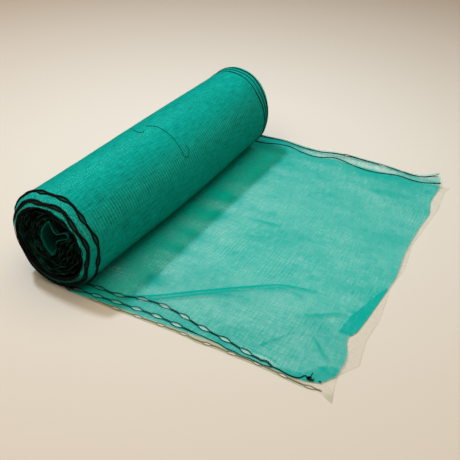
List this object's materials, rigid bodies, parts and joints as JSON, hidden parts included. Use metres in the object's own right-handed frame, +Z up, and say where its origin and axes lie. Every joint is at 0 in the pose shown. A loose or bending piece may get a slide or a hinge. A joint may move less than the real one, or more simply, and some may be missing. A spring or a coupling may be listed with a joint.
{
  "type": "roll of safety mesh fencing",
  "caption": "Roll of green knitted mesh fencing lying on the floor, its loose end drawn out flat, with black-bound rows of tie eyelets along both edges.",
  "frame": {"origin": "on the floor, in the middle of the flat strip on which the roll rests", "axes": "+X along the loose end, away from the roll; +Y along the roll, from the open near end to the far end; +Z up"},
  "size_m": [0.8895, 1.042, 0.259],
  "materials": {
    "net_roll": "close knitted green plastic net, many layers deep, with a soft sheen",
    "net_sheet": "one sheer layer of close knitted green plastic net",
    "black_yarn": "matt black twisted yarn",
    "clear_net": "nearly clear, thin knitted net",
    "loose_thread": "fine dark green thread"
  },
  "bodies": {
    "root": {"roll": "net_roll", "roll_row_near_inner": "black_yarn", "roll_row_near_outer": "black_yarn", "roll_row_far_inner": "black_yarn", "roll_row_far_outer": "black_yarn", "loose_panel": "net_sheet", "band_near": "net_sheet", "band_far": "net_sheet", "eyelet_row_near_inner": "black_yarn", "eyelet_row_near_outer": "black_yarn", "eyelet_row_far_inner": "black_yarn", "eyelet_row_far_outer": "black_yarn", "under_ply": "clear_net", "under_band": "clear_net", "loose_thread_long": "loose_thread", "loose_thread_short": "loose_thread"}
  },
  "joints": []
}
